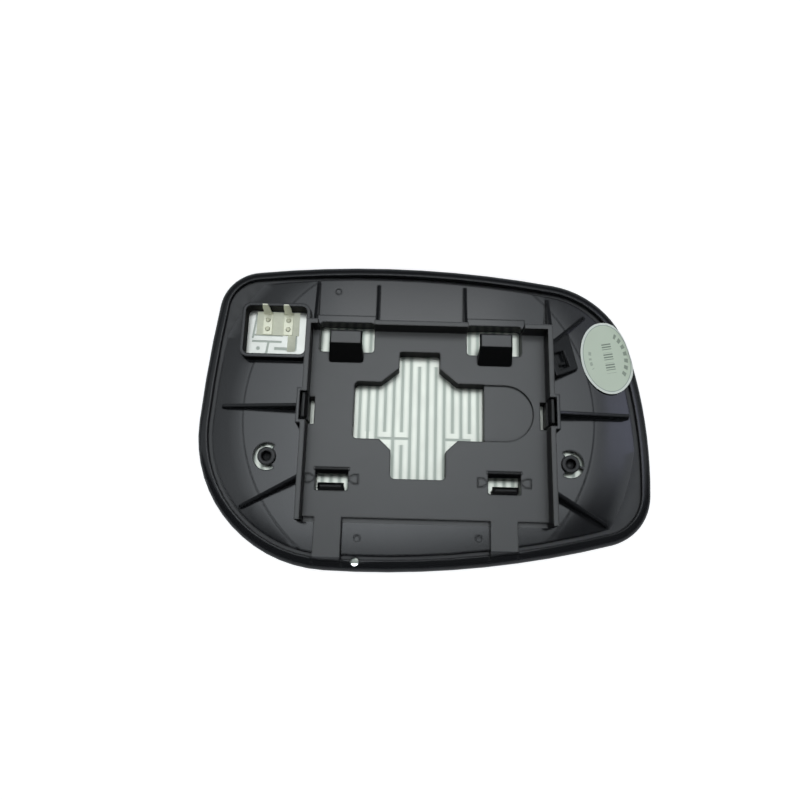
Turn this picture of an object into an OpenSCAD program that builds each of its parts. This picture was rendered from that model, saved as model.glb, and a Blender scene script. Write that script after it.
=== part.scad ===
// Door mirror glass seen from its back: a convex mirror, a heater film with an
// etched foil track, and the moulded plate that clips to the mirror motor.
// X runs along the mirror, Y up it, and Z from the reflecting face to the back.

/* [Outline] */
// Half of the width over the rim
half_w = 86.6; // [82:0.1:92]
// Half of the height over the rim
half_h = 60.4; // [58:0.1:64]
// Radius of the long upper edge
top_r = 410; // [300:5:600]
// Place along X of the highest point of the upper edge
top_x = -16.2; // [-25:0.1:-8]
// Radius of the outer end
right_r = 178.5; // [150:0.5:220]
// Place along Y of the outermost point of the outer end
right_y = -16.8; // [-20:0.1:-12]
// Radius of the long lower edge
bottom_r = 366; // [300:1:500]
// Place along X of the lowest point of the lower edge
bottom_x = -21.8; // [-30:0.1:-10]
// Radius of the inner end
left_r = 535; // [400:5:700]
// Place along Y of the outermost point of the inner end
left_y = -23.1; // [-28:0.1:-16]
// How far the circle of the inner end would reach past the outline
left_over = 0.25; // [0:0.05:0.5]
// Radius of the upper outer corner
corner_top_right = 36.9; // [30:0.1:42]
// Radius of the lower outer corner
corner_bottom_right = 20.5; // [14:0.1:26]
// Radius of the lower inner corner
corner_bottom_left = 52.6; // [44:0.1:58]
// Radius of the upper inner corner
corner_top_left = 17.1; // [12:0.1:22]

/* [Glass and heater] */
// Radius of curvature of the convex mirror
mirror_r = 1800; // [1200:50:2400]
// Thickness of the glass
glass_t = 2; // [1.6:0.1:3]
// Distance of the glass edge from the rim's outer edge
glass_inset = 1.4; // [1.2:0.1:2]
// Thickness of the heater's carrier film with its adhesive
film_t = 0.2; // [0.15:0.05:0.4]
// Thickness of the etched foil
foil_t = 0.1; // [0.05:0.05:0.2]
// Distance of the film's edge from the glass edge
film_inset = 1.5; // [1:0.1:4]
// Distance of the foil's edge from the film's edge
foil_inset = 1.2; // [0.8:0.1:3]
// Distance between the middles of neighbouring foil bands
band_pitch = 3.29; // [3.1:0.01:3.5]
// Width of the bare gap between two foil bands
gap_w = 1.05; // [0.6:0.05:1.3]

/* [Rim] */
// Height of the rim's crest above the middle of the mirror face
crest_z = 7.1; // [6.8:0.1:8]
// Height at which the rounded outer flank starts
flank_z = 2.9; // [2.7:0.1:3.5]
// Width of the rounded outer flank
flank_w = 2.8; // [2:0.1:3.2]
// Width of the whole rim, flank and crest
rim_w = 4.2; // [3.8:0.1:5]
// Width of the groove inside the rim
groove_w = 1.6; // [1.2:0.1:2.2]
// Skin left under the groove
groove_skin = 0.8; // [0.6:0.1:1.2]
// How far the lip round the glass stands past the mirror face
lip = 0.3; // [0.1:0.1:0.6]

/* [Floor] */
// Height of the outer floor
floor_z = 6; // [5.8:0.1:6.4]
// Radius of the shallow ring line in the floor
crease_r = 67.6; // [64:0.1:70]
// Width of the ring line
crease_w = 1.7; // [1:0.1:2.5]
// Depth of the ring line
crease_d = 0.3; // [0.1:0.05:0.4]
// Fall of the floor outside the ring line, in degrees
floor_fall = 2.5; // [0:0.1:3]

/* [Motor seat] */
// Middle of the motor seat along X
seat_x = 1.2; // [0:0.1:2]
// Clear width between the side walls
seat_w = 90.6; // [89:0.1:92]
// Inner face of the upper wall
seat_top = 31.4; // [31:0.1:33]
// Lower edge of the raised seat
seat_bottom = -41.2; // [-42:0.1:-40]
// Height of the raised seat's floor
seat_z = 8.8; // [8.2:0.1:9.4]
// Height of the walls above the seat
wall_h = 7.5; // [6.5:0.1:9]
// Thickness of the walls
wall_t = 1.9; // [1.6:0.1:2.4]
// Height of the gussets above the outer floor
gusset_h = 6.6; // [5:0.1:8]
// Thickness of the gussets
gusset_t = 1.2; // [1:0.1:1.6]
// Height of the gussets at their outer ends
gusset_end = 2; // [1:0.1:3.5]
// Width of the two legs between the seat and the lower rim
leg_w = 10.1; // [9:0.1:11]
// Middle of the left leg
leg_left_x = -34.7; // [-37:0.1:-33]
// Middle of the right leg
leg_right_x = 30.1; // [28:0.1:32]

/* [Cross opening] */
// Middle of the cross opening along X
cross_x = -2; // [-4:0.1:-1]
// Middle of the cross opening along Y
cross_y = -0.4; // [-1:0.1:1]
// Half length of the side arms
arm_l = 25; // [23:0.1:26]
// Half height of the side arms
arm_h = 11.2; // [10:0.1:12]
// Half width of the upper arm
upper_w = 7.9; // [7:0.1:9]
// Reach of the upper arm
upper_l = 23.6; // [22:0.1:25]
// Half width of the lower arm
lower_w = 10.4; // [9:0.1:11]
// Reach of the lower arm
lower_l = 26.2; // [25:0.1:28]
// Corner radius of the arms
arm_r = 1.8; // [1:0.1:2.5]
// Depth of the round-ended pocket beside the cross
pocket_d = 1.2; // [0.8:0.1:2]
// Reach of the round-ended pocket past the cross
pocket_l = 18.8; // [17:0.1:20]

/* [Clips] */
// Middle of the upper left hook
hook_left_x = -30.7; // [-31.5:0.1:-29.5]
// Middle of the upper right hook
hook_right_x = 27; // [25:0.1:28]
// Width of an upper hook
hook_w = 12.3; // [10:0.1:13]
// Height of an upper hook above the seat
hook_h = 6.3; // [5.5:0.1:7]
// Width of the window under an upper hook
hook_window_w = 21.5; // [20:0.1:22]
// Lower edge of the windows under the upper hooks
hook_window_y = 22.5; // [22:0.1:24]
// Middle of the lower left clip
clip_left_x = -34; // [-35:0.1:-33]
// Middle of the lower right clip
clip_right_x = 30.3; // [29:0.1:31]
// Width of the window of a lower clip
clip_window_w = 12.2; // [11:0.1:13]
// Width of the tongue of a lower clip
clip_w = 9.6; // [8:0.1:10]
// Length of the side latches along the wall
latch_l = 11; // [9:0.1:12]

/* [Pins] */
// Place along X of the left locating bore
bore_left_x = -59.2; // [-61:0.1:-58]
// Place along X of the right locating bore
bore_right_x = 55.8; // [54:0.1:57]
// Place along Y of both locating bores
bore_y = -18.9; // [-20:0.1:-17]
// Diameter of the locating bores
bore_d = 3.8; // [3:0.1:4.2]
// Diameter of the bosses round the bores
boss_d = 6.8; // [6.4:0.1:7.4]
// Height of the bosses above the floor
boss_h = 1; // [0.5:0.1:2]
// Width of the arched slot round a boss
boss_slot_w = 1.8; // [1.4:0.1:2.2]
// Half of the angle that the arched slot spans
boss_slot_a = 122; // [100:1:130]
// Diameter of the drain hole in the lower rim
drain_d = 3; // [2:0.1:3.4]

/* [Terminals] */
// Clear width of the terminal window
window_w = 24; // [22:0.1:24.4]
// Clear height of the terminal window
window_h = 19.8; // [18:0.1:21]
// Right edge of the terminal window
window_right = -46.9; // [-47:0.1:-46.7]
// Lower edge of the terminal window
window_y = 20.7; // [20:0.1:22]
// Corner radius of the terminal window
window_r = 2; // [1:0.1:3]
// Thickness of the collar round the terminal window
collar_t = 1.4; // [1:0.1:1.6]
// Height of the collar
collar_z = 10; // [9:0.1:11]
// Width of a terminal's foot
foot_w = 3.5; // [3:0.1:3.6]
// Width of a terminal's blade
blade_w = 2.8; // [2:0.1:3]
// Thickness of the terminals
blade_t = 0.5; // [0.4:0.1:0.8]
// Length of a terminal's foot
foot_l = 8.9; // [8:0.1:9]
// Length of a terminal's blade
blade_l = 9.6; // [8:0.1:11]
// Lean of the blades from upright, in degrees
blade_lean = 3; // [-6:1:4]
// Distance between the two terminals
terminal_pitch = 8.2; // [7:0.1:9]
// Thickness of the insulating patch
patch_t = 0.1; // [0.1:0.05:0.2]
// Diameter of a rivet's head
rivet_d = 2; // [1.6:0.1:2.4]

/* [Label] */
// Width of the oval label
label_w = 20.2; // [18:0.1:22]
// Height of the oval label
label_h = 29.4; // [26:0.1:30]
// Thickness of the label
label_t = 0.15; // [0.1:0.05:0.2]

/* [Hidden] */

// Overlap that lets two shapes of one solid merge
bite = 0.5;
// Depth that clears any solid of the part
far = 40;
// Widest opening angle between two points of a side and of a corner
side_step = 2;
corner_step = 6;
// Facets of the very large ball and of the small round parts
ball_fn = 256;
round_fn = 48;
// Chord and reach of the turned block above the mirror's surface
bowl_step = 11;
bowl_reach = bowl_step * ceil(norm([half_w, half_h]) * 1.05 / bowl_step);

film_z = glass_t + film_t;
// Room left between the film, the foil and the plate
layer_gap = 0.05;
track_z = film_z + layer_gap;
seat_depth = track_z + foil_t + layer_gap;
crest_w = rim_w - flank_w;
wall_z = seat_z + wall_h;
seat_left = seat_x - seat_w / 2;
seat_right = seat_x + seat_w / 2;
wall_left = seat_left - wall_t;
wall_right = seat_right + wall_t;
wall_top = seat_top + wall_t;
label_x = half_w - 15;

// One circle for each side, clockwise from the top: middle x, middle y, radius
sides = [[top_x, half_h - top_r, top_r], [half_w - right_r, right_y, right_r],
         [bottom_x, bottom_r - half_h, bottom_r], [left_r - half_w - left_over, left_y,
          left_r]];
corners = [corner_top_right, corner_bottom_right, corner_bottom_left, corner_top_left];

function middle(s) = [s[0], s[1]];
function angle_of(v) = atan2(v[1], v[0]);
function on_circle(c, r, a) = c + r * [cos(a), sin(a)];
function turned_below(a, limit) = a > limit ? turned_below(a - 360, limit) : a;
function arc(c, r, from, to, step) =
    let (n = ceil(abs(from - to) / step))
    [for (i = [0 : n - 1]) on_circle(c, r, from + (to - from) * i / n)];

// Middle of the corner circle that touches side i and the next one from inside
function corner_middle(i) =
    let (a = sides[i], b = sides[(i + 1) % 4],
         ra = a[2] - corners[i], rb = b[2] - corners[i],
         gap = middle(b) - middle(a), d = norm(gap),
         along = (d * d + ra * ra - rb * rb) / (2 * d),
         off = sqrt(ra * ra - along * along))
    middle(a) + along * gap / d + off * [gap[1], -gap[0]] / d;

// The outline moved inwards by d: four sides and four corners, all tangent
function outline(d) =
    [for (i = [0 : 3])
        let (c = middle(sides[i]), next = middle(sides[(i + 1) % 4]),
             before = corner_middle((i + 3) % 4), after = corner_middle(i),
             a0 = angle_of(before - c), a1 = turned_below(angle_of(after - c), a0),
             a2 = turned_below(angle_of(after - next), a1))
        each concat(arc(c, sides[i][2] - d, a0, a1, side_step),
                    arc(after, corners[i] - d, a1, a2, corner_step))];

module outline_prism(d, low, high)
    translate([0, 0, low]) linear_extrude(high - low) polygon(outline(d));

// The ball whose lowest point lies at height z on the mirror's axis
module ball(z)
    translate([0, 0, mirror_r]) rotate([90, 0, 0]) sphere(r = mirror_r - z, $fn = ball_fn);

// A sheet that follows the mirror, between two heights on its axis
module curved_sheet(d, low, high) {
    difference() {
        intersection() {
            outline_prism(d, -1, crest_z + 2);
            ball(low);
        }
        ball(high);
    }
}

// All that lies above the same surface, as a turned block with short chords
module above(z) {
    r = mirror_r - z;
    rotate_extrude($fn = ball_fn)
        polygon(concat([for (x = [0 : bowl_step : bowl_reach])
            [x, mirror_r - sqrt(r * r - x * x)]], [[bowl_reach, far], [0, far]]));
}

// A rectangle from one corner to the other with rounded corners
module rounded(x0, y0, x1, y1, r) {
    polygon([for (q = [[x1 - r, y1 - r, 0], [x0 + r, y1 - r, 90], [x0 + r, y0 + r, 180],
                       [x1 - r, y0 + r, 270]])
        for (a = [0 : 15 : 90]) on_circle([q[0], q[1]], r, q[2] + a)]);
}

module box(x0, x1, y0, y1, z0, z1)
    translate([x0, y0, z0]) cube([x1 - x0, y1 - y0, z1 - z0]);

// GLASS, FILM AND FOIL

module mirror_glass() {
    color("silver") curved_sheet(glass_inset, 0, glass_t);
}

module heater_film() {
    color([0.7, 0.74, 0.7]) curved_sheet(glass_inset + film_inset, glass_t, film_z);
}

// Gap number 0 lies left of the cross; even gaps end at the bottom and odd ones at the top
track_inset = glass_inset + film_inset + foil_inset;
first_gap = -21.6;
turn_l = 2.5;
block_y = -10;
centre_end = 19.3;

function gap_x(i) = first_gap + i * band_pitch;
module gap(i, low, high)
    translate([gap_x(i) - gap_w / 2, low]) square([gap_w, high - low]);
module cross_gap(i, j)
    translate([gap_x(i) - gap_w / 2, block_y - gap_w / 2])
        square([gap_x(j) - gap_x(i) + gap_w, gap_w]);

// Reach of the outermost gaps from the ends of the rim, and foil left at every turn
gaps_from = 5.6;
gaps_to = 9.4;
turn_rest = 0.8;
outer_gaps = [ceil((gaps_from - half_w - first_gap) / band_pitch) :
              floor((half_w - gaps_to - first_gap) / band_pitch)];
function is_even(i) = i % 2 == 0;
function outside_cross(i) = i < 1 || i > 12;
function gap_end(i) =
    sqrt(max(0, 1 - pow(gap_x(i) / (half_w - 4), 4))) * (half_h - 7) - turn_l;

// The band along the upper (side 1) or lower (side -1) edge that no gap cuts through
module turns(side) {
    difference() {
        translate([-2 * half_w, side > 0 ? 0 : -2 * half_h]) square([4 * half_w, 2 * half_h]);
        polygon(outline(track_inset + turn_rest));
    }
}

module heater_gaps() {
    difference() {
        for (i = outer_gaps) if (outside_cross(i) && is_even(i)) gap(i, -gap_end(i), 2 * far);
        turns(-1);
    }
    difference() {
        for (i = outer_gaps) if (outside_cross(i) && !is_even(i)) gap(i, -2 * far, gap_end(i));
        turns(1);
    }
    for (i = [1 : 12]) {
        if (i == 6 || i == 8) {
            gap(i, -2 * far, centre_end);
        } else if (is_even(i)) {
            gap(i, block_y + turn_l, 2 * far);
            gap(i, -2 * far, block_y - turn_l);
        } else {
            gap(i, -gap_end(i), gap_end(i));
        }
    }
    cross_gap(1, 5);
    cross_gap(9, 12);
}

// Contact field under the terminals: broad bands with a few cuts and no meander
field = [-72.6, 22, -47.4, 42.5];
module field_square()
    translate([field[0], field[1]]) square([field[2] - field[0], field[3] - field[1]]);

module field_gaps() {
    translate([-69, 27.3]) square([11.8, 0.9]);
    translate([-68.4, 30]) square([11.6, 0.7]);
    polygon([[-62, 27.4], [-62.9, 27.4], [-63.7, 21], [-62.8, 21]]);
    translate([-66.4, 24.8]) circle(d = 1.5, $fn = 24);
    translate([-60, 24.3]) square([6.8, 1.2]);
    translate([-54.1, 24.3]) square([3, 15.8]);
    polygon([[-67.9, 39.8], [-67, 39.8], [-68.4, 29], [-69.2, 29]]);
}

module heater_track() {
    color([0.88, 0.92, 0.88]) difference() {
        intersection() {
            translate([0, 0, -1]) linear_extrude(crest_z + 3) difference() {
                polygon(outline(track_inset));
                difference() {
                    heater_gaps();
                    field_square();
                }
                field_gaps();
            }
            ball(track_z);
        }
        ball(track_z + foil_t);
    }
}

// BACKING PLATE

// The plate's outer shape with a rounded flank, thicker all round by grow
module blank(grow) {
    hull() {
        outline_prism(-grow, 0, flank_z);
        for (a = [18 : 18 : 90])
            outline_prism(flank_w - (flank_w + grow) * cos(a), flank_z,
                          flank_z + (crest_z - flank_z + grow) * sin(a));
    }
}

module rim() {
    difference() {
        blank(0);
        outline_prism(rim_w, -1, far);
    }
}

// The floor falls away outside the ring line
module floor_land() {
    fall_start = crease_r + crease_w;
    reach = 2 * half_w;
    intersection() {
        outline_prism(rim_w + groove_w, 0, seat_z);
        translate([cross_x, cross_y, 0]) rotate_extrude($fn = 120) polygon([
            [0, 0], [0, floor_z], [crease_r, floor_z], [crease_r, floor_z - crease_d],
            [fall_start, floor_z - crease_d],
            [reach, floor_z - crease_d - (reach - fall_start) * tan(floor_fall)], [reach, 0]]);
    }
}

module groove_web() {
    difference() {
        outline_prism(flank_w + bite, 0, crest_z);
        above(seat_depth + groove_skin);
    }
}

module leg(x) {
    intersection() {
        outline_prism(flank_w + crest_w / 2, floor_z - 2, seat_z);
        box(x - leg_w / 2, x + leg_w / 2, -half_h, seat_bottom + bite, 0, far);
    }
}

// A web from the foot of a wall out to the floor, in the direction a, end high at its end
module gusset(x, y, a, length, end) {
    translate([x, y, floor_z]) rotate([0, 0, a]) rotate([90, 0, 0])
        translate([0, 0, -gusset_t / 2]) linear_extrude(gusset_t) polygon([
            [-bite, -1.5], [-bite, gusset_h], [0, gusset_h], [length - 0.8, end],
            [length, 0], [length, -1.5]]);
}

module gussets() {
    for (g = [[-43.2, 19.5], [-19, 19], [15.6, 18.8], [48.6, 14.5]])
        gusset(g[0], wall_top - 0.2, 90, g[1], gusset_end);
    gusset(wall_right - 0.3, 26.8, 42, (label_x - 7.9 - wall_right) / cos(42), gusset_end);
    gusset(wall_right + 1.3, -0.2, 0, half_w - 7.8 - wall_right - 1.3, gusset_end + 1.5);
    gusset(wall_right - 0.2, -30.2, -30, 23.5, gusset_end + 1);
    gusset(wall_left - 1.3, 0, 180, 30.5, gusset_end);
    gusset(wall_left + 0.2, -26.6, 208, 25, gusset_end);
}

module seat() {
    box(wall_left, wall_right, seat_bottom, wall_top, floor_z - 2, seat_z);
}

wall_end = 1.7;
module walls() {
    box(wall_left, seat_left, seat_bottom - wall_end, wall_top, floor_z - 2, wall_z);
    box(seat_right, wall_right, seat_bottom - wall_end, wall_top, floor_z - 2, wall_z);
    box(seat_left - bite, seat_right + bite, seat_top, wall_top, seat_z - bite, wall_z);
}

// The wall stands aside at each side latch, round a pocket for the latch
latch_pocket = 2.5;
latch_slot = 2.2;
latch_clear = 1.4;
latch_y = -1;
module latch_shells() {
    for (s = [[seat_left, -1], [seat_right, 1]]) {
        outer = s[0] + s[1] * (latch_pocket + 1.2);
        box(min(s[0], outer), max(s[0], outer), latch_y - latch_l / 2 - 1.2,
            latch_y + latch_l / 2 + 1.2, floor_z - 2, wall_z);
    }
}

module latch_cuts() {
    for (s = [[seat_left, -1], [seat_right, 1]]) {
        deep = s[0] + s[1] * latch_pocket;
        slot = s[0] - s[1] * latch_slot;
        low = latch_y - latch_l / 2;
        box(min(slot, deep), max(slot, deep), low, low + latch_l, seat_z, far);
        box(min(s[0], slot), max(s[0], slot), low, low + latch_l - 0.3, 0, far);
        box(min(s[0], deep), max(s[0], deep), low, low + latch_clear, 0, far);
    }
}

// A springy tongue with a nose, standing in its pocket in the wall
module latch_tongues() {
    for (s = [[seat_left, -1], [seat_right, 1]])
        translate([s[0] + s[1] * 0.6, latch_y + latch_l / 2 - 0.5, 0]) rotate([90, 0, 0])
            linear_extrude(latch_l - latch_clear - 0.5) polygon([
                [s[1] * 1.2, seat_z - 2], [s[1] * 1.2, wall_z - 1.4], [s[1] * 0.2, wall_z - 0.9],
                [-s[1] * 0.9, wall_z - 2.6], [-s[1] * 0.9, wall_z - 3.2], [0, wall_z - 3.9],
                [0, seat_z - 2]]);
}

// Window and wall gap under an upper hook, closed by a low ledge outside
hook_window_top = 34.5;
ledge_w = 3;
ledge_h = 0.8;
module hook_window(x) {
    half = hook_window_w / 2;
    translate([0, 0, -1]) linear_extrude(far)
        rounded(x - half, hook_window_y, x + half, hook_window_top, 1.4);
}

module ledge(x) {
    half = hook_window_w / 2;
    box(x - half - 1.2, x + half + 1.2, wall_top, hook_window_top + ledge_w, floor_z - 2,
        seat_z + ledge_h);
}

module wall_gap(x) {
    half = hook_window_w / 2;
    box(x - half, x + half, seat_top - bite, wall_top + bite, seat_z, far);
}

// The hook leans over its window: a ramp, a flat top and a nose, on a foot that widens
hook_foot = 4.3;
hook_run = 6;
hook_top = 5.2;
hook_nose = 1.9;
hook_flare = 0.5;
hook_chamfer = 0.5;
module hook(x) {
    y = hook_window_y;
    top = seat_z + hook_h;
    foot = y - hook_foot;
    tip = foot + hook_run + hook_top;
    wide = hook_w / 2 + hook_flare;
    intersection() {
        translate([x + wide, 0, 0]) rotate([90, 0, -90]) linear_extrude(2 * wide) polygon([
            [-foot, seat_z - bite], [-foot, seat_z], [-foot - hook_run, top],
            [-tip + hook_chamfer, top], [-tip, top - hook_chamfer], [-tip, top - hook_nose],
            [-(y + 2.4), top - hook_nose], [-(y + 0.6), top - 2 * hook_nose],
            [-y, seat_z - bite]]);
        translate([x, far, 0]) rotate([90, 0, 0]) linear_extrude(far) polygon([
            [-wide, 0], [-wide, seat_z], [-hook_w / 2, top - hook_chamfer],
            [hook_chamfer - hook_w / 2, top], [hook_w / 2 - hook_chamfer, top],
            [hook_w / 2, top - hook_chamfer], [wide, seat_z], [wide, 0]]);
        linear_extrude(far) rounded(x - wide, foot, x + wide, tip + 3, 1.2);
    }
}

// Window of a lower clip, with a bar across it and a tongue with a nose
clip_y0 = -31.4;
clip_y1 = -22.8;
module clip_window(x) {
    half = clip_window_w / 2;
    translate([0, 0, -1]) linear_extrude(far) rounded(x - half, clip_y0, x + half, clip_y1, 0.8);
}

clip_nose = 3.4;
clip_chamfer = 0.9;
module clip(x) {
    half = clip_window_w / 2 + bite;
    top = seat_z + clip_nose;
    translate([x + half, 0, 0]) rotate([90, 0, -90]) linear_extrude(2 * half) polygon([
        [-clip_y1 - bite, seat_z - 2.6], [-clip_y1 - bite, seat_z - bite],
        [-clip_y1 + 0.1, seat_z + 0.3], [-clip_y1 + 0.9, seat_z + 0.3],
        [-clip_y1 + 2.2, seat_z - 1], [-clip_y1 + 2.2, seat_z - 2.2]]);
    intersection() {
        translate([x + clip_w / 2, 0, 0]) rotate([90, 0, -90]) linear_extrude(clip_w) polygon([
            [-clip_y0 + bite, seat_z - 3], [-clip_y0 + bite, seat_z - bite],
            [-clip_y0, seat_z - bite], [-clip_y0, seat_z], [-clip_y0 - 0.65, top],
            [-clip_y0 - 1.5, top], [-clip_y0 - 2.6, seat_z + 1.6], [-clip_y0 - 1.5, seat_z + 0.9],
            [-clip_y0 - 1.5, seat_z - 3]]);
        translate([x, 0, 0]) rotate([90, 0, 0]) linear_extrude(far) polygon([
            [-clip_w / 2, 0], [-clip_w / 2, top - clip_chamfer], [clip_chamfer - clip_w / 2, top],
            [clip_w / 2 - clip_chamfer, top], [clip_w / 2, top - clip_chamfer], [clip_w / 2, 0]]);
    }
}

// Five-sided outlines engraved on both sides of a lower clip
wing_d = 0.4;
module wings(x) {
    for (s = [-1, 1])
        translate([x + s * clip_window_w / 2, clip_y1, seat_z - wing_d]) linear_extrude(far)
            difference() {
                polygon([[0, -3.7], [s * 1.9, -2.5], [s * 4, -2.5], [s * 4, -6.2],
                         [s * 1.7, -6.1], [0, -4.8]]);
                polygon([[s * 0.4, -3.9], [s * 2, -2.9], [s * 3.6, -2.9], [s * 3.6, -5.8],
                         [s * 1.8, -5.7], [s * 0.4, -4.6]]);
            }
}

// Slanted shoulders between the side arms and the upper and lower arms
shoulder_w = 14.8;
shoulder_top = 17;
shoulder_low = -15.4;
module cross_opening() {
    translate([cross_x, cross_y, -1]) linear_extrude(far) {
        rounded(-arm_l, -arm_h, 0, arm_h, arm_r);
        translate([-arm_r, -arm_h]) square([arm_l + arm_r, 2 * arm_h]);
        rounded(-upper_w, 0, upper_w, upper_l, arm_r / 2);
        rounded(-lower_w, -lower_l, lower_w, 0, arm_r);
        polygon([[-upper_w, shoulder_top], [upper_w, shoulder_top], [shoulder_w, arm_h],
                 [shoulder_w, 0], [-shoulder_w, 0], [-shoulder_w, arm_h]]);
        polygon([[-lower_w, shoulder_low], [-shoulder_w, -arm_h], [-shoulder_w, 0],
                 [shoulder_w, 0], [shoulder_w, -arm_h], [lower_w, shoulder_low]]);
    }
}

module round_pocket() {
    r = arm_h - 0.2;
    translate([cross_x + arm_l, cross_y, seat_z - pocket_d]) {
        translate([pocket_l - r, 0, 0]) cylinder(r = r, h = far, $fn = round_fn * 2);
        translate([-bite, -r, 0]) cube([pocket_l - r + bite, 2 * r, far]);
    }
}

// Arched slot round a boss, from one angle to another
module boss_slot(x, from, to) {
    translate([x, bore_y, -1]) rotate([0, 0, from])
        rotate_extrude(angle = to - from, $fn = round_fn)
            translate([boss_d / 2, 0]) square([boss_slot_w, far]);
}

module boss(x)
    translate([x, bore_y, floor_z - 2]) cylinder(d = boss_d, h = boss_h + 2, $fn = round_fn);

bore_bottom = 4.6;
bore_dish = 0.4;
module bore(x) {
    translate([x, bore_y, bore_bottom]) cylinder(d = bore_d, h = far, $fn = round_fn);
    translate([x, bore_y, bore_bottom - bore_dish])
        cylinder(d1 = bore_d - 3 * bore_dish, d2 = bore_d, h = bore_dish, $fn = round_fn);
}

window_left = window_right - window_w;
module collar() {
    translate([0, 0, floor_z - 2]) linear_extrude(collar_z - floor_z + 2)
        rounded(window_left - collar_t, window_y - collar_t, window_right + collar_t,
                window_y + window_h + collar_t, window_r + collar_t);
}

module terminal_window() {
    translate([0, 0, -1]) linear_extrude(far)
        rounded(window_left, window_y, window_right, window_y + window_h, window_r);
}

// Raised pad beside the upper right corner, sloping outwards, with a pocket in it
pad_z = 11.3;
pad_slope = 13;
pad_end = min(wall_right + 11.1, label_x - 12);
pocket_turn = 22;
pocket_deep = 2.4;
module pad_top(z, low)
    translate([wall_right, 0, z]) rotate([0, pad_slope, 0]) translate([-far, -far, low])
        cube([2 * far, 2 * far, far]);

module pad() {
    difference() {
        translate([0, 0, floor_z - 2]) linear_extrude(far) polygon([
            [wall_right - bite, 28.6], [pad_end - 3.6, 32.2], [pad_end, 18.3],
            [wall_right + 2.2, 14.4], [wall_right, 21], [wall_right - bite, 21]]);
        pad_top(pad_z, 0);
    }
}

// The pocket with a short rib left standing in it
module pad_pocket() {
    intersection() {
        translate([pad_end - 6.7, 21.1, 0]) rotate([0, 0, pocket_turn]) linear_extrude(far)
            difference() {
                translate([-2.2, -3.4]) square([4.4, 6.8]);
                translate([-1.2, -1.9]) square([2, 1]);
            }
        pad_top(pad_z, -pocket_deep);
    }
}

module drain_hole()
    translate([-24.3, -56.9, -1]) cylinder(d = drain_d, h = far, $fn = round_fn);

// Shallow round marks of the ejector pins on the floor
module ejector_marks()
    for (m = [[-23.8, -48.5], [21, -47.5], [-35.2, 49]])
        translate([m[0], m[1], floor_z - crease_d]) cylinder(d = 2.4, h = 1, $fn = 24);

// Narrow notches across the rim on both sides of a leg
notch_w = 0.6;
notch_d = 0.8;
module rim_notches(x)
    for (s = [-1, 1])
        box(x + s * (leg_w + notch_w) / 2 - notch_w / 2, x + s * (leg_w + notch_w) / 2 + notch_w / 2,
            -half_h - 1, 8 - half_h, crest_z - notch_d, far);

module backing_plate() {
    color([0.11, 0.115, 0.12]) difference() {
        intersection() {
            union() {
                rim();
                floor_land();
                groove_web();
                seat();
                leg(leg_left_x);
                leg(leg_right_x);
                difference() {
                    walls();
                    wall_gap(hook_left_x);
                    wall_gap(hook_right_x);
                }
                latch_shells();
                gussets();
                collar();
                boss(bore_left_x);
                boss(bore_right_x);
                pad();
                ledge(hook_left_x);
                ledge(hook_right_x);
            }
            above(-lip);
        }
        difference() {
            outline_prism(glass_inset, -1, crest_z - 1);
            above(seat_depth);
        }
        cross_opening();
        round_pocket();
        hook_window(hook_left_x);
        hook_window(hook_right_x);
        clip_window(clip_left_x);
        clip_window(clip_right_x);
        wings(clip_left_x);
        wings(clip_right_x);
        latch_cuts();
        boss_slot(bore_left_x, 180 - boss_slot_a, 180 + boss_slot_a);
        boss_slot(bore_right_x, -8, boss_slot_a);
        boss_slot(bore_right_x, -boss_slot_a, -19);
        bore(bore_left_x);
        bore(bore_right_x);
        terminal_window();
        pad_pocket();
        drain_hole();
        ejector_marks();
        rim_notches(leg_left_x);
        rim_notches(leg_right_x);
    }
    color([0.11, 0.115, 0.12]) {
        hook(hook_left_x);
        hook(hook_right_x);
        clip(clip_left_x);
        clip(clip_right_x);
        latch_tongues();
    }
}

// TERMINALS AND PATCH

patch_x = -59;
patch_y = 35.3;
patch_w = 17;
patch_l = 9.8;
tail_w = 3.2;
tail_l = 6.6;
foot_start = -4.7;
rivet_start = 2.3;
rivet_gap = 3.8;
rivet_shank = 0.55;
rivet_head = 0.4;

// Height of the foil at a place, from the mirror's curve
function track_top(x, y) =
    mirror_r - sqrt(pow(mirror_r - track_z - foil_t, 2) - x * x - y * y);

// Places its children flat on the foil at the middle of the patch
module on_track()
    translate([patch_x, patch_y, track_top(patch_x, patch_y) + 0.03])
        rotate([asin(patch_y / mirror_r), -asin(patch_x / mirror_r), 0]) children();

module terminal_patch() {
    color([0.9, 0.88, 0.74]) on_track() {
        translate([-patch_w / 2, -patch_l / 2, 0]) cube([patch_w, patch_l, patch_t]);
        translate([patch_w / 2 - tail_w - 1.2, -patch_l / 2 - tail_l, 0])
            cube([tail_w, tail_l + bite, patch_t]);
    }
}

// A flat foot with two rivet holes, bent up into a blade with shoulders and a tapered tip
module terminal(side) {
    color("khaki") on_track() translate([side * terminal_pitch / 2, foot_start, patch_t])
        difference() {
            union() {
                translate([-foot_w / 2, 0, 0]) cube([foot_w, foot_l, blade_t]);
                translate([0, foot_l, 0]) rotate([-blade_lean, 0, 0]) rotate([90, 0, 0])
                    linear_extrude(blade_t) polygon([
                        [-foot_w / 2, 0], [-foot_w / 2, 1.6], [-blade_w / 2, 2.4],
                        [-blade_w / 2, blade_l * 0.65], [-blade_w * 0.36, blade_l],
                        [blade_w * 0.36, blade_l], [blade_w / 2, blade_l * 0.65],
                        [blade_w / 2, 2.4], [foot_w / 2, 1.6], [foot_w / 2, 0]]);
            }
            for (k = [0, 1])
                translate([0, rivet_start + k * rivet_gap, -1])
                    cylinder(d = rivet_d * rivet_shank, h = 3, $fn = round_fn);
        }
}

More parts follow.
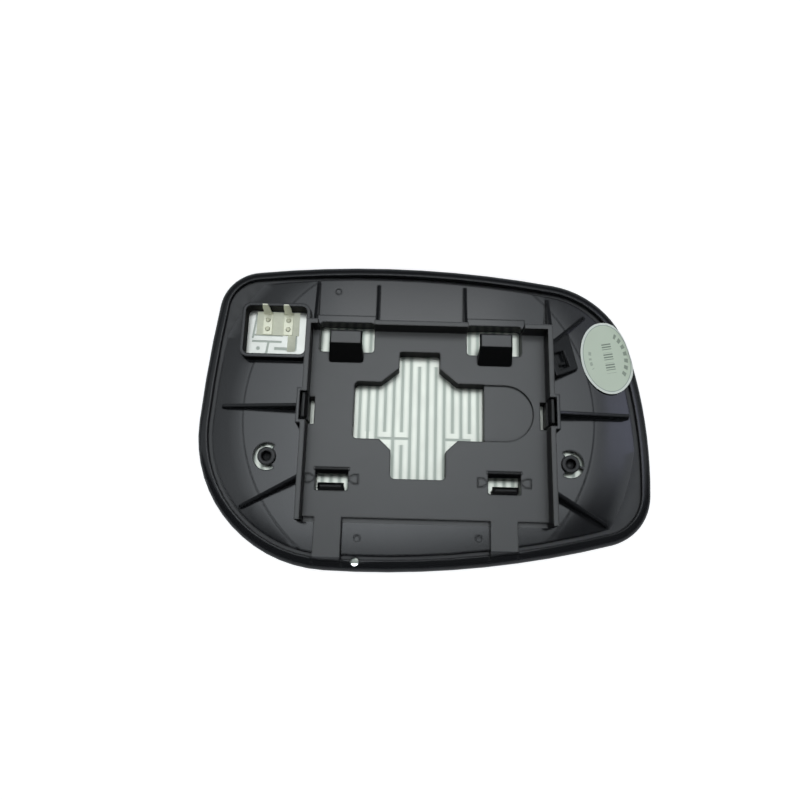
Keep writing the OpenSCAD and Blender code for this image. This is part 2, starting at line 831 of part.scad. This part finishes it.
module terminal_left() { terminal(-1); }
module terminal_right() { terminal(1); }

module rivet(side, k) {
    color("lightyellow") on_track()
        translate([side * terminal_pitch / 2, foot_start + rivet_start + k * rivet_gap, patch_t]) {
            cylinder(d = rivet_d * rivet_shank, h = blade_t, $fn = round_fn);
            translate([0, 0, blade_t])
                cylinder(d1 = rivet_d, d2 = rivet_d * 0.7, h = rivet_head, $fn = round_fn);
        }
}

module rivet_left_upper() { rivet(-1, 1); }
module rivet_left_lower() { rivet(-1, 0); }
module rivet_right_upper() { rivet(1, 1); }
module rivet_right_lower() { rivet(1, 0); }

// LABEL

label_y = 23.6;
label_turn = 9;
label_lift = 0.02;
// Where the label leaves the crest, the way it runs down to the floor, and its fall
label_fold = [half_w - 7.6, 23.6];
label_way = 18;
label_fall = 3.6;
label_end_z = 3.8;

// Taut over the groove, folded over the crest and stuck down the flank
module inspection_label() {
    color([0.73, 0.78, 0.72]) intersection() {
        translate([label_x, label_y, label_end_z]) rotate([0, 0, label_turn]) linear_extrude(far)
            polygon([for (a = [0 : 7.5 : 352.5]) [label_w / 2 * cos(a), label_h / 2 * sin(a)]]);
        difference() {
            union() {
                difference() {
                    blank(label_lift + label_t);
                    outline_prism(rim_w, -1, far);
                }
                translate([label_fold[0], label_fold[1], crest_z + label_lift])
                    rotate([0, 0, label_way]) rotate([0, -label_fall, 0])
                        translate([-label_w - 5, -label_h, 0])
                            cube([label_w + 5, label_h * 2, label_t]);
            }
            blank_skin();
        }
    }
}

// All that lies under the label on the rim
module blank_skin() {
    difference() {
        blank(label_lift);
        outline_prism(rim_w, -1, far);
    }
}

mirror_glass();
heater_film();
heater_track();
backing_plate();
terminal_patch();
terminal_left();
terminal_right();
rivet_left_upper();
rivet_left_lower();
rivet_right_upper();
rivet_right_lower();
inspection_label();
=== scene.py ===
# %% [markdown]
# # The back of a heated door mirror glass
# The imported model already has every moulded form: the plate with its rim, walls, hooks and
# clips, the glass, the heater foil and the two terminals. This lesson gives those solids
# their finishes, lights them like a small product studio, and puts the camera where the
# photograph was taken. Nothing of the solids is moved.

import math

import bpy
from mathutils import Matrix, Vector


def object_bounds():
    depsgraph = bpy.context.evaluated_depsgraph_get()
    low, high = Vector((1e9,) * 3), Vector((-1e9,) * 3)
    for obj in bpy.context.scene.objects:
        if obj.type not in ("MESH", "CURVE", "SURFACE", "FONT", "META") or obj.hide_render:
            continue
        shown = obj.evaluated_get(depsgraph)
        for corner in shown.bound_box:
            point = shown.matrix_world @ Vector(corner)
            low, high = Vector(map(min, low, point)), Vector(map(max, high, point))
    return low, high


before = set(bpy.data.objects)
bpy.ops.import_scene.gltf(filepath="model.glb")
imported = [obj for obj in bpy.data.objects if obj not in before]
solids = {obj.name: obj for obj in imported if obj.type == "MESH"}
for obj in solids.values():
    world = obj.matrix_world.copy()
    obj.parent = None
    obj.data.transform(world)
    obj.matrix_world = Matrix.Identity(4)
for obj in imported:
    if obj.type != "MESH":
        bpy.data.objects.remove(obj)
cad_box = [list(map(float, corner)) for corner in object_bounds()]
MM = 0.001
print("solids:", sorted(solids))
print("box in mm:", [[round(v / MM, 1) for v in corner] for corner in cad_box])

# %% [markdown]
# ## Camera
# The photograph looks down on the plate from about 0.26 m. The view is tilted by 14.7 degrees
# and turned by one and a half. Those numbers come from matching straight edges and known
# heights. A long lens further away could show the same outline, but only a close view gives
# the walls their visible inner faces, so the short distance is kept.

# %% Place the camera
TILT = math.radians(14.7)
ROLL = math.radians(1.55)
EYE = Vector((-9.335, -62.315, 260.644)) * MM
FOCAL_LENGTH_PX = 680.0
FRAME_PX = 800.0

lens = bpy.data.cameras.new("studio_camera")
lens.sensor_fit = "HORIZONTAL"
lens.sensor_width = 36.0
lens.lens = FOCAL_LENGTH_PX / FRAME_PX * lens.sensor_width
lens.clip_start = 0.01
lens.clip_end = 20.0
camera = bpy.data.objects.new("studio_camera", lens)
turned = Matrix.Rotation(TILT, 4, "X") @ Matrix.Rotation(ROLL, 4, "Z")
camera.matrix_world = Matrix.Translation(EYE) @ turned
bpy.context.scene.collection.objects.link(camera)
bpy.context.scene.camera = camera
print("camera at", [round(v, 4) for v in EYE], "lens", round(lens.lens, 2), "mm")

# %% [markdown]
# ## Shader sums written as Python
# A finish is a small sum: a colour here, a bit more roughness there. Its nodes could be made
# and linked one by one, which hides the sum. Wrapping a socket in a class lets it be written
# as an ordinary expression, and each operator adds the Math node that it stands for. The
# reflected forms make `1 - mask` work as well.

# %% A socket that can be used in sums
class Value:
    """One output socket of a node, with the operators of a number."""

    def __init__(self, graph, socket):
        self.graph, self.socket = graph, socket

    def _math(self, operation, *others):
        return self.graph.node("Math", {"operation": operation}, *others)

    def __add__(self, other):
        return self._math("ADD", self, other)

    def __sub__(self, other):
        return self._math("SUBTRACT", self, other)

    def __rsub__(self, other):
        return self._math("SUBTRACT", other, self)

    def __mul__(self, other):
        return self._math("MULTIPLY", self, other)

    def __truediv__(self, other):
        return self._math("DIVIDE", self, other)

    def __rtruediv__(self, other):
        return self._math("DIVIDE", other, self)

    def __pow__(self, other):
        return self._math("POWER", self, other)

    def __lt__(self, other):
        return self._math("LESS_THAN", self, other)

    def __gt__(self, other):
        return self._math("GREATER_THAN", self, other)

    __radd__ = __add__
    __rmul__ = __mul__

    def size(self):
        """The value without its sign."""
        return self._math("ABSOLUTE", self)

    def fraction(self):
        """What is left over after the last whole number."""
        return self._math("FRACT", self)

    def at_least(self, least):
        return self._math("MAXIMUM", self, least)


print("sockets can be added, multiplied and compared")

# %% One method for every node
class Graph:
    """The node tree of a material or of the world."""

    def __init__(self, data, output="OutputMaterial"):
        self.data = data
        self.data.use_nodes = True
        self.tree = self.data.node_tree
        self.tree.nodes.clear()
        self.out = self.tree.nodes.new("ShaderNode" + output)

    def raw(self, kind, options=None, *values, **named):
        """One node: its kind, its settings, and the values or links of its sockets."""
        made = self.tree.nodes.new("ShaderNode" + kind)
        for key, value in (options or {}).items():
            setattr(made, key, value)
        pairs = list(zip(made.inputs, values))
        pairs += [(made.inputs[key.replace("_", " ")], value) for key, value in named.items()]
        for socket, value in pairs:
            if isinstance(value, Value):
                self.tree.links.new(value.socket, socket)
            elif value is not None:
                socket.default_value = value
        return made

    def node(self, kind, options=None, *values, output=0, **named):
        """One node as raw makes it, and one of its outputs, ready for a sum."""
        made = self.raw(kind, options, *values, **named)
        return Value(self, made.outputs[output])

    def ramp(self, value, start, end, low=0.0, high=1.0):
        """Goes softly from low to high while the value goes from start to end."""
        soft = {"interpolation_type": "SMOOTHSTEP"}
        return self.node("MapRange", soft, value, start, end, low, high)

    def split(self, vector):
        """The x, y and z of a vector."""
        made = self.raw("SeparateXYZ", None, vector)
        return [Value(self, socket) for socket in made.outputs]

    def mix(self, share, first, second):
        """Blends two colours, each a colour tuple or a socket."""
        made = self.raw("Mix", {"data_type": "RGBA"})
        for index, value in ((0, share), (6, first), (7, second)):
            if isinstance(value, Value):
                self.tree.links.new(value.socket, made.inputs[index])
            else:
                made.inputs[index].default_value = value if index == 0 else (*value, 1.0)
        return Value(self, made.outputs[2])

    def finish(self, shader):
        self.tree.links.new(shader.socket, self.out.inputs["Surface"])
        print(self.data.name, "has", len(self.tree.nodes), "nodes")
        return self.data


print("shader helpers ready")

# %% [markdown]
# ## Smooth where the mould is round
# The solids arrive as loose triangles. Merging their corners and smoothing every edge that
# bends by less than 34 degrees makes the rounded rim and the bosses shade as curves, while
# the walls keep crisp edges. Both could be done to the mesh itself, but a small node tree does
# them in a modifier and leaves the mesh alone.

# %% Merge and smooth by angle
def smoothing_tree(limit_degrees, merge):
    tree = bpy.data.node_groups.new("merge_and_smooth", "GeometryNodeTree")
    tree.interface.new_socket("Geometry", in_out="INPUT", socket_type="NodeSocketGeometry")
    tree.interface.new_socket("Geometry", in_out="OUTPUT", socket_type="NodeSocketGeometry")
    make, link = tree.nodes.new, tree.links.new
    start, end = make("NodeGroupInput"), make("NodeGroupOutput")
    weld = make("GeometryNodeMergeByDistance")
    weld.inputs["Distance"].default_value = merge
    angle = make("GeometryNodeInputMeshEdgeAngle")
    sharp = make("FunctionNodeCompare")
    sharp.data_type, sharp.operation = "FLOAT", "GREATER_THAN"
    sharp.inputs["B"].default_value = math.radians(limit_degrees)
    faces, edges = make("GeometryNodeSetShadeSmooth"), make("GeometryNodeSetShadeSmooth")
    faces.domain, edges.domain = "FACE", "EDGE"
    faces.inputs["Shade Smooth"].default_value = True
    edges.inputs["Shade Smooth"].default_value = False
    link(start.outputs[0], weld.inputs["Geometry"])
    link(weld.outputs["Geometry"], faces.inputs["Geometry"])
    link(faces.outputs["Geometry"], edges.inputs["Geometry"])
    link(angle.outputs["Unsigned Angle"], sharp.inputs["A"])
    link(sharp.outputs["Result"], edges.inputs["Selection"])
    link(edges.outputs["Geometry"], end.inputs[0])
    return tree


SMOOTH_BELOW_DEGREES = 34.0
MERGE_DISTANCE = 0.000004
smooth_tree = smoothing_tree(SMOOTH_BELOW_DEGREES, MERGE_DISTANCE)
for solid in solids.values():
    solid.modifiers.new("merge_and_smooth", "NODES").node_group = smooth_tree
print("smoothed", len(solids), "solids")

# %% [markdown]
# ## Black moulded plastic
# The plate is black ABS. The floors round the motor seat are polished: their own colour is
# almost nothing, and what the eye reads as grey is the softbox, mirrored in them together
# with the ribs. The level faces of the seat and of its two legs are eroded and dull, and no
# wall is mirrored in them; their dark grey is painted sheen, standing in for the light that
# their rough surface scatters. Upright faces there, the two latches, the two bosses and the
# walls of the terminal collar get painted shade, a near-black colour, and are rougher; the
# bottom of the groove inside the rim is rougher than the floors too. Each of these faces
# could be given a material of its own, but then the solid's mesh would have to be marked.
# Boxes on Object coordinates say where a face lies, and its normal says whether it is level,
# so that one material serves the whole plate.

# %% Where the plate's surface changes
# A box is the x and y of its centre, its width and its depth, all in metres.
SEAT_AND_LEGS = [
    (0.0012, -0.0048, 0.0945, 0.0763),
    (-0.0347, -0.0492, 0.0101, 0.0125),
    (0.0301, -0.0474, 0.0101, 0.0089),
]
LATCHES = [
    (-0.034, -0.0271, 0.0124, 0.0088),
    (0.0303, -0.0271, 0.0124, 0.0088),
]
COLLAR = [(-0.0589, 0.0306, 0.0268, 0.0226)]
BOSSES = [(-0.0592, -0.0189), (0.0558, -0.0189)]
BOSS_RADIUS = 0.0034
GLASS_RADIUS = 1.8
GROOVE_BOTTOM = 0.0032
GROOVE_FADE = 0.00005


def inside(boxes, x, y):
    """1 inside any of the boxes, and 0 elsewhere."""
    return sum(((x - cx).size() < w / 2) * ((y - cy).size() < h / 2) for cx, cy, w, h in boxes)


print("the seat's surface is", round(SEAT_AND_LEGS[0][2] / MM, 1), "mm wide")

# %% [markdown]
# ## Edges and grain of the plate
# A mould has no knife edges. They could be rounded in the mesh, at the cost of many faces.
# The Bevel node only turns the normals, over most of a millimetre at each edge, which draws
# the thin dark and light lines that outline legs, pocket and walls. A very fine noise gives
# the grain, and two slower ones let colour and gloss drift a little.

# %% Plate finish
FLOOR_BLACK = (0.007, 0.0074, 0.0084)
WORN_BLACK = (0.01, 0.0104, 0.0114)
# Painted sheen: the dark grey below stands in for the light that the eroded seat faces
# scatter; the plastic itself is black.
PAINTED_SHEEN_GREY = (0.073, 0.0735, 0.072)
# Painted shade: the near-black below darkens the upright seat faces, the latches, the bosses
# and the collar walls.
PAINTED_SHADE_BLACK = (0.001, 0.00105, 0.0013)
UPRIGHT, LEVEL = 0.75, 0.93
POLISHED = 0.1
EDGE_ROUNDING = 0.0008
GRAIN_HEIGHT = 0.00003


def black_plastic():
    g = Graph(bpy.data.materials.new("black_plastic"))
    place = g.node("TexCoord", None, output="Object")
    x, y, z = g.split(place)
    facing_up = g.split(g.node("TexCoord", None, output="Normal"))[2]
    level = g.ramp(facing_up, UPRIGHT, LEVEL)
    seat = inside(SEAT_AND_LEGS, x, y)
    boss = sum((((x - cx) ** 2 + (y - cy) ** 2) < BOSS_RADIUS ** 2) for cx, cy in BOSSES)
    over_glass = z - (x * x + y * y) / (2 * GLASS_RADIUS)
    groove = g.ramp(over_glass, GROOVE_BOTTOM, GROOVE_BOTTOM + GROOVE_FADE, 1.0, 0.0)
    # The seat's level faces, which get the painted sheen and more roughness.
    dull_painted_sheen = seat * level * (1 - inside(LATCHES, x, y))
    collar = inside(COLLAR, x, y) * (1 - level)
    # The faces that get painted shade: upright seat faces, latches, collar walls, and the
    # bosses at three quarters.
    painted_shade_faces = seat - dull_painted_sheen + collar + boss * 0.75
    grain = g.node("TexNoise", None, place, Scale=5200.0, Detail=2.0, output="Fac")
    drift = g.node("TexNoise", None, place, Scale=38.0, Detail=3.0, output="Fac")
    flow = g.node("TexNoise", None, place, Scale=220.0, Detail=4.0, output="Fac")
    colour = g.mix(drift, FLOOR_BLACK, WORN_BLACK)
    # Painted sheen on the seat's level faces, then painted shade on the darkest faces.
    colour = g.mix(dull_painted_sheen, colour, PAINTED_SHEEN_GREY)
    colour = g.mix(painted_shade_faces, colour, PAINTED_SHADE_BLACK)
    gloss = POLISHED + dull_painted_sheen * 0.22 + painted_shade_faces * 0.3 + collar * 0.3 + groove * 0.25
    gloss = gloss + drift * 0.04 + flow * 0.03
    edge = g.node("Bevel", {"samples": 4}, Radius=EDGE_ROUNDING)
    bump = g.node("Bump", None, Strength=0.1, Distance=GRAIN_HEIGHT, Height=grain, Normal=edge)
    shader = g.node("BsdfPrincipled", None, Base_Color=colour, Roughness=gloss, Normal=bump,
                    IOR=1.5)
    return g.finish(shader)


plate_finish = black_plastic()

# %% [markdown]
# ## Glass and film
# The mirror is silvered glass. It could be a clear body over a silver sheet, but light would
# have to find its way through both, so it is a plain metal reflection under a clear coat. The
# film that carries the heater is pale and satin. As plain milky plastic it would be equally
# bright from all sides, but in the photograph it brightens where the softbox is mirrored, so
# most of its finish is metallic.

# %% Mirror and film finishes
def silvered_glass():
    g = Graph(bpy.data.materials.new("silvered_glass"))
    place = g.node("TexCoord", None, output="Object")
    haze = g.node("TexNoise", None, place, Scale=24.0, Detail=3.0, output="Fac")
    colour = g.mix(haze, (0.8, 0.83, 0.84), (0.86, 0.88, 0.88))
    shader = g.node("BsdfPrincipled", None, Base_Color=colour, Roughness=0.02 + haze * 0.03,
                    Metallic=1.0, Coat_Weight=1.0, Coat_Roughness=0.01)
    return g.finish(shader)


def heater_carrier():
    g = Graph(bpy.data.materials.new("heater_carrier"))
    place = g.node("TexCoord", None, output="Object")
    cloud = g.node("TexNoise", None, place, Scale=160.0, Detail=3.0, output="Fac")
    colour = g.mix(cloud, (0.27, 0.295, 0.26), (0.32, 0.35, 0.31))
    shader = g.node("BsdfPrincipled", None, Base_Color=colour, Roughness=0.34 + cloud * 0.08,
                    Metallic=0.75)
    return g.finish(shader)


glass_finish = silvered_glass()
film_finish = heater_carrier()

# %% [markdown]
# ## The foil track
# The foil is a meander of pale satin bands, and each band is painted darker towards its
# pressed edges: painted shade. The bands are solids already, so the finish only has to know
# how far a point is from the middle of its band. An image could tell, but a sum is enough: the
# cuts between the bands lie at an even pitch, so the fraction of the count of pitches is 0 at
# a cut and a half in the middle of a band. Where a cut ends, the track turns round it and has
# no edge, so it gets no painted shade: the cuts with even numbers end at one line, except for
# the two in the middle, which end higher up. The field under the terminals is one plain piece,
# without the painted shade.

# %% Foil finish
BAND_PITCH = 0.00329
A_CUT = -0.0216
CUTS_BEFORE = 40.0
MIDDLE_COUNT = 47.0
LOW_TURN = -0.01
LOW_TURN_FADE = 0.0024, 0.0026
HIGH_TURN_FADE = 0.0192, 0.0194
FIELD_RIGHT = -0.0474
FIELD_BOTTOM = 0.0215
BAND_MIDDLE = (0.486, 0.502, 0.448)
# Painted shade: the colour below darkens each band towards its cuts.
BAND_EDGE_SHADE = (0.335, 0.356, 0.319)
FIELD_COLOUR = (0.53, 0.535, 0.5)
CLOUD_COLOUR = (0.53, 0.54, 0.486)


def etched_foil():
    g = Graph(bpy.data.materials.new("etched_foil"))
    place = g.node("TexCoord", None, output="Object")
    across, along, _ = g.split(place)
    count = (across - A_CUT) / BAND_PITCH + CUTS_BEFORE
    even = g.ramp(((count / 2.0).fraction() - 0.5).size(), 0.24, 0.26)
    low_turn = g.ramp((along - LOW_TURN).size(), *LOW_TURN_FADE, 1.0, 0.0)
    high_turn = g.ramp(along, *HIGH_TURN_FADE)
    middle = (count - MIDDLE_COUNT).size() < 1.5
    turn = even * (middle * high_turn + (1 - middle) * low_turn)
    field = (across < FIELD_RIGHT) * (along > FIELD_BOTTOM)
    # Where the painted shade falls: towards the cuts, but not round the turns or on the field.
    edge = g.ramp((count.fraction() - 0.5).size(), 0.05, 0.4) * (1 - turn) * (1 - field)
    cloud = g.node("TexNoise", None, place, Scale=260.0, Detail=3.0, output="Fac")
    painted_band_shade = g.mix(edge, BAND_MIDDLE, BAND_EDGE_SHADE)
    painted_band_shade = g.mix(field, painted_band_shade, FIELD_COLOUR)
    colour = g.mix(cloud * 0.3, painted_band_shade, CLOUD_COLOUR)
    shader = g.node("BsdfPrincipled", None, Base_Color=colour, Roughness=0.3 + cloud * 0.08,
                    Metallic=0.75)
    return g.finish(shader)


foil_finish = etched_foil()

# %% [markdown]
# ## Terminals, patch and rivets
# The spade terminals are thin tinned brass, pale and slightly yellow. They lie on a cream
# patch, and small rivets hold them down. One metal would do for them all, but the rivets look
# darker, so they get a finish of their own. A fine noise stains each metal and gives the
# patch its fibres.

# %% Small metal and paper finishes
def tinned_brass():
    g = Graph(bpy.data.materials.new("tinned_brass"))
    place = g.node("TexCoord", None, output="Object")
    stain = g.node("TexNoise", None, place, Scale=420.0, Detail=4.0, output="Fac")
    colour = g.mix(stain, (0.74, 0.74, 0.56), (0.9, 0.9, 0.74))
    shader = g.node("BsdfPrincipled", None, Base_Color=colour, Roughness=0.3 + stain * 0.2,
                    Metallic=0.35)
    return g.finish(shader)


def rivet_brass():
    g = Graph(bpy.data.materials.new("rivet_brass"))
    place = g.node("TexCoord", None, output="Object")
    stain = g.node("TexNoise", None, place, Scale=900.0, Detail=2.0, output="Fac")
    colour = g.mix(stain, (0.42, 0.42, 0.3), (0.66, 0.66, 0.5))
    shader = g.node("BsdfPrincipled", None, Base_Color=colour, Roughness=0.3 + stain * 0.2,
                    Metallic=0.5)
    return g.finish(shader)


def cream_patch():
    g = Graph(bpy.data.materials.new("cream_patch"))
    place = g.node("TexCoord", None, output="Object")
    fibre = g.node("TexNoise", None, place, Scale=700.0, Detail=4.0, output="Fac")
    colour = g.mix(fibre, (0.7, 0.71, 0.55), (0.84, 0.85, 0.68))
    shader = g.node("BsdfPrincipled", None, Base_Color=colour, Roughness=0.6)
    return g.finish(shader)


terminal_finish = tinned_brass()
rivet_finish = rivet_brass()
patch_finish = cream_patch()

# %% [markdown]
# ## The oval label
# The sticker is pale green, with a lighter band of even width round its edge and a thin line
# inside that band. Scaling the oval down would make the band wider at its ends than at its
# sides, so the band follows the distance to the oval instead, which is the radius left over,
# divided by how fast the radius changes there. Rows of short plain bars fill the middle: two
# bent ones along the sides, and one of three blocks between them.

# %% Label finish
LABEL_PLACE = (0.0716, 0.0236, 0.0)
LABEL_TURN = math.radians(9.0)
HALF_WIDTH = 0.0101
HALF_HEIGHT = 0.0147
BAND_WIDTH = 0.0009
LINE_END = 0.00115
BLOCKS_X, BLOCKS_HALF_WIDTH = 0.0006, 0.0018
BLOCKS_Y, BLOCKS_HALF_HEIGHT = -0.0004, 0.0063
BLOCK_PITCH = 0.0042
BAR_PITCH = 0.00105
TEETH_PER_RADIAN = 3.6
GROUND_GREENS = (0.62, 0.7, 0.56), (0.67, 0.75, 0.61)
BAR_GREEN = (0.1, 0.14, 0.1)
LINE_GREEN = (0.33, 0.39, 0.34)
BAND_GREEN = (0.82, 0.86, 0.78)


def pale_label():
    g = Graph(bpy.data.materials.new("pale_label"))
    place = g.node("TexCoord", None, output="Object")
    turned = g.node("Mapping", {"vector_type": "TEXTURE"}, place, Location=LABEL_PLACE,
                    Rotation=(0.0, 0.0, LABEL_TURN))
    x, y, _ = g.split(turned)
    across, along = x / HALF_WIDTH, y / HALF_HEIGHT
    radius = (across * across + along * along) ** 0.5
    wide, high = across / HALF_WIDTH, along / HALF_HEIGHT
    slope = (wide * wide + high * high) ** 0.5
    inward = (1 - radius) * radius / slope
    band = inward < BAND_WIDTH
    line = (inward > BAND_WIDTH) * (inward < LINE_END)
    ray = g.node("Math", {"operation": "ARCTAN2"}, along, across)
    teeth = (ray * TEETH_PER_RADIAN + 20).fraction() < 0.55
    right_row = (radius > 0.64) * (radius < 0.78) * (ray.size() < 0.95) * teeth
    left_row = (radius > 0.6) * (radius < 0.7) * (ray.size() > 2.75) * teeth
    within = (x - BLOCKS_X).size() < BLOCKS_HALF_WIDTH
    within = within * ((y - BLOCKS_Y).size() < BLOCKS_HALF_HEIGHT)
    block = (y / BLOCK_PITCH + 10.2).fraction() < 0.72
    bars = (y / BAR_PITCH + 10).fraction() < 0.5
    centre = within * block * bars
    ink = right_row * 0.6 + left_row * 0.4 + centre * 0.75
    cloud = g.node("TexNoise", None, place, Scale=90.0, Detail=3.0, output="Fac")
    colour = g.mix(cloud, *GROUND_GREENS)
    colour = g.mix(ink, colour, BAR_GREEN)
    colour = g.mix(line, colour, LINE_GREEN)
    colour = g.mix(band, colour, BAND_GREEN)
    shader = g.node("BsdfPrincipled", None, Base_Color=colour, Roughness=0.42 + cloud * 0.1)
    return g.finish(shader)


label_finish = pale_label()

# %% [markdown]
# ## Dress the solids
# Each solid keeps its shape and takes one finish, which could be written out twelve times.
# The four rivets share one, and so do the two terminals, so the first word of their names is
# enough to find it.

# %% Hand out the finishes
FINISHES = {
    "backing_plate": plate_finish,
    "mirror_glass": glass_finish,
    "heater_film": film_finish,
    "heater_track": foil_finish,
    "terminal_patch": patch_finish,
    "terminal": terminal_finish,
    "rivet": rivet_finish,
    "inspection_label": label_finish,
}
for name, solid in solids.items():
    finish = FINISHES.get(name) or FINISHES[name.split("_")[0]]
    solid.data.materials.clear()
    solid.data.materials.append(finish)
    print(name, "->", finish.name)

# %% [markdown]
# ## Studio
# A plain pale floor stands in for the paper sweep. Stronger lamps could make it white, but
# they would wash out the part. Instead, camera rays see a glow on top of the floor's real
# shading, so that the shadow of the part stays visible on it.

# %% Floor
HALF_FLOOR = 1.6
GAP_UNDER_PART = 0.0002
FLOOR_GLOW = 0.74


def studio_floor():
    g = Graph(bpy.data.materials.new("studio_floor"))
    seen = Value(g, g.raw("LightPath").outputs["Is Camera Ray"])
    plain = g.node("BsdfDiffuse", None, Color=(0.5, 0.5, 0.5, 1.0))
    glow = g.node("Emission", None, Color=(1.0, 1.0, 1.0, 1.0), Strength=FLOOR_GLOW)
    dark = g.node("Emission", None, Color=(0.0, 0.0, 0.0, 1.0), Strength=0.0)
    shown = g.node("MixShader", None, seen, dark, glow)
    return g.finish(g.node("AddShader", None, plain, shown))


mesh = bpy.data.meshes.new("studio_floor")
corners = [(-HALF_FLOOR, -HALF_FLOOR, 0), (HALF_FLOOR, -HALF_FLOOR, 0),
           (HALF_FLOOR, HALF_FLOOR, 0), (-HALF_FLOOR, HALF_FLOOR, 0)]
mesh.from_pydata(corners, [], [(0, 1, 2, 3)])
floor = bpy.data.objects.new("studio_floor", mesh)
floor.location.z = cad_box[0][2] - GAP_UNDER_PART
mesh.materials.append(studio_floor())
bpy.context.scene.collection.objects.link(floor)
print("floor at z", round(floor.location.z, 5))

# %% [markdown]
# ## The room as light
# Gloss on black plastic is a picture of the room, so the brightness of each floor of the
# photographed plate tells how bright the room is where that floor looks. Several lamps could
# be set up and moved until the floors match, but the world can be written as that picture
# right away. Measured from the floors, it has these parts:
# - one softbox just behind the zenith. Its front edge lies one to three degrees behind the
#   zenith and slants back to the right. It fades from 11 to 23 degrees to each side, to a
#   quarter, and from 11 to 37 degrees to the back, and its middle is brighter,
# - a narrow bluish window, 24 degrees to the right,
# - a far wall that is a little lit, and dim light from everywhere else.
#
# A slope below is a direction's way to the side or to the back for each metre of height, so
# 0.19 is 11 degrees and 0.75 is 37.

# %% What glossy faces see
SOFTBOX_LIGHT = 2.75
MIDDLE_LIGHT = 0.8
WINDOW_LIGHT = 2.4
DIM_LIGHT = 0.035
LEAST_HEIGHT = 0.05


def written_room(g, x, y, z):
    """How bright the room is in a direction, and how much of it is the window."""
    height = z.at_least(LEAST_HEIGHT)
    aside, behind = x / height, y / height
    side = g.ramp((aside - 0.02).size(), 0.19, 0.42, 1.0, 0.24)
    front = g.ramp(behind - aside.at_least(0.0) * 0.15, 0.025, 0.06)
    back = g.ramp(behind, 0.2, 0.75, 1.0, 0.0)
    middle = g.ramp(aside.size(), 0.12, 0.18, 1.0, 0.0) * g.ramp(behind, 0.36, 0.44, 1.0, 0.0)
    window = g.ramp((aside - 0.455).size(), 0.02, 0.07, 1.0, 0.0) * g.ramp(behind, 0.12, 0.16)
    far_wall = g.ramp(z, 0.1, 0.7, 1.0, 0.0) * g.ramp(y, 0.0, 0.5, 0.02, 0.4)
    softbox = SOFTBOX_LIGHT + middle * MIDDLE_LIGHT
    room = DIM_LIGHT + far_wall + side * front * back * softbox + window * back * WINDOW_LIGHT
    return room, window


print("softbox:", SOFTBOX_LIGHT, "and in its middle", SOFTBOX_LIGHT + MIDDLE_LIGHT)

# %% [markdown]
# ## What each kind of ray meets
# One picture could serve every ray, but a photograph on white paper needs three:
# - camera rays see plain white,
# - glossy and transmitted rays see almost the same white below the horizon, for the mirror
#   face, and the written room above it,
# - diffuse rays see light from overhead and a little in front, which fills the windows, keeps
#   the shadows of the walls short and leaves upright faces nearly black.

# %% World
PAPER_LIGHT = 0.95
FILL_LIGHT = 0.05
OVERHEAD_LIGHT = 2.42
COS_18, SIN_18 = 0.951, 0.309
ROOM_TINT = (0.9, 0.955, 1.0)
WINDOW_TINT = (0.72, 0.76, 1.0)


def studio_world():
    g = Graph(bpy.data.worlds.new("studio_world"), "OutputWorld")
    ray = g.raw("LightPath")
    camera_ray = Value(g, ray.outputs["Is Camera Ray"])
    soft_ray = Value(g, ray.outputs["Is Diffuse Ray"])
    x, y, z = g.split(g.node("TexCoord", None, output="Generated"))
    room, window = written_room(g, x, y, z)
    under = g.ramp(z, -0.35, -0.02, 1.0, 0.0)
    shiny = room * (1 - under) + under * PAPER_LIGHT
    overhead = (z * COS_18 - y * SIN_18).at_least(0.0) ** 6
    strength = soft_ray * (FILL_LIGHT + overhead * OVERHEAD_LIGHT) + (1 - soft_ray) * shiny
    tint = g.mix(window, ROOM_TINT, WINDOW_TINT)
    seen = g.node("Background", None, Color=tint, Strength=strength)
    white = g.node("Background", None, Color=(1.0, 1.0, 1.0, 1.0), Strength=1.0)
    return g.finish(g.node("MixShader", None, camera_ray, seen, white))


bpy.context.scene.world = studio_world()
print("world:", bpy.context.scene.world.name)

# %% [markdown]
# ## One lamp for soft shadows
# The written room alone would leave the raised parts almost without a shadow. A small strong
# lamp could draw one, but a hard one. One weak area lamp hangs where the softbox is and adds
# just enough.

# %% Lamp
LAMP_PLACE = Vector((0.02, 0.36, 1.1))
LAMP_SIDE = 0.36
LAMP_WATTS = 0.4

light = bpy.data.lights.new("key_softbox", "AREA")
light.shape = "RECTANGLE"
light.size = LAMP_SIDE
light.size_y = LAMP_SIDE
light.energy = LAMP_WATTS
lamp = bpy.data.objects.new("key_softbox", light)
lamp.location = LAMP_PLACE
lamp.rotation_euler = (-LAMP_PLACE).to_track_quat("-Z", "Y").to_euler()
bpy.context.scene.collection.objects.link(lamp)
print("lamp's radiance:", round(light.energy / (math.pi * light.size * light.size_y), 2))

# %% [markdown]
# ## View transform
# A film-like view transform could soften the highlights, but it would shift every colour.
# Standard shows them as they are written.

# %% Settings and the end
bpy.context.scene.view_settings.view_transform = "Standard"
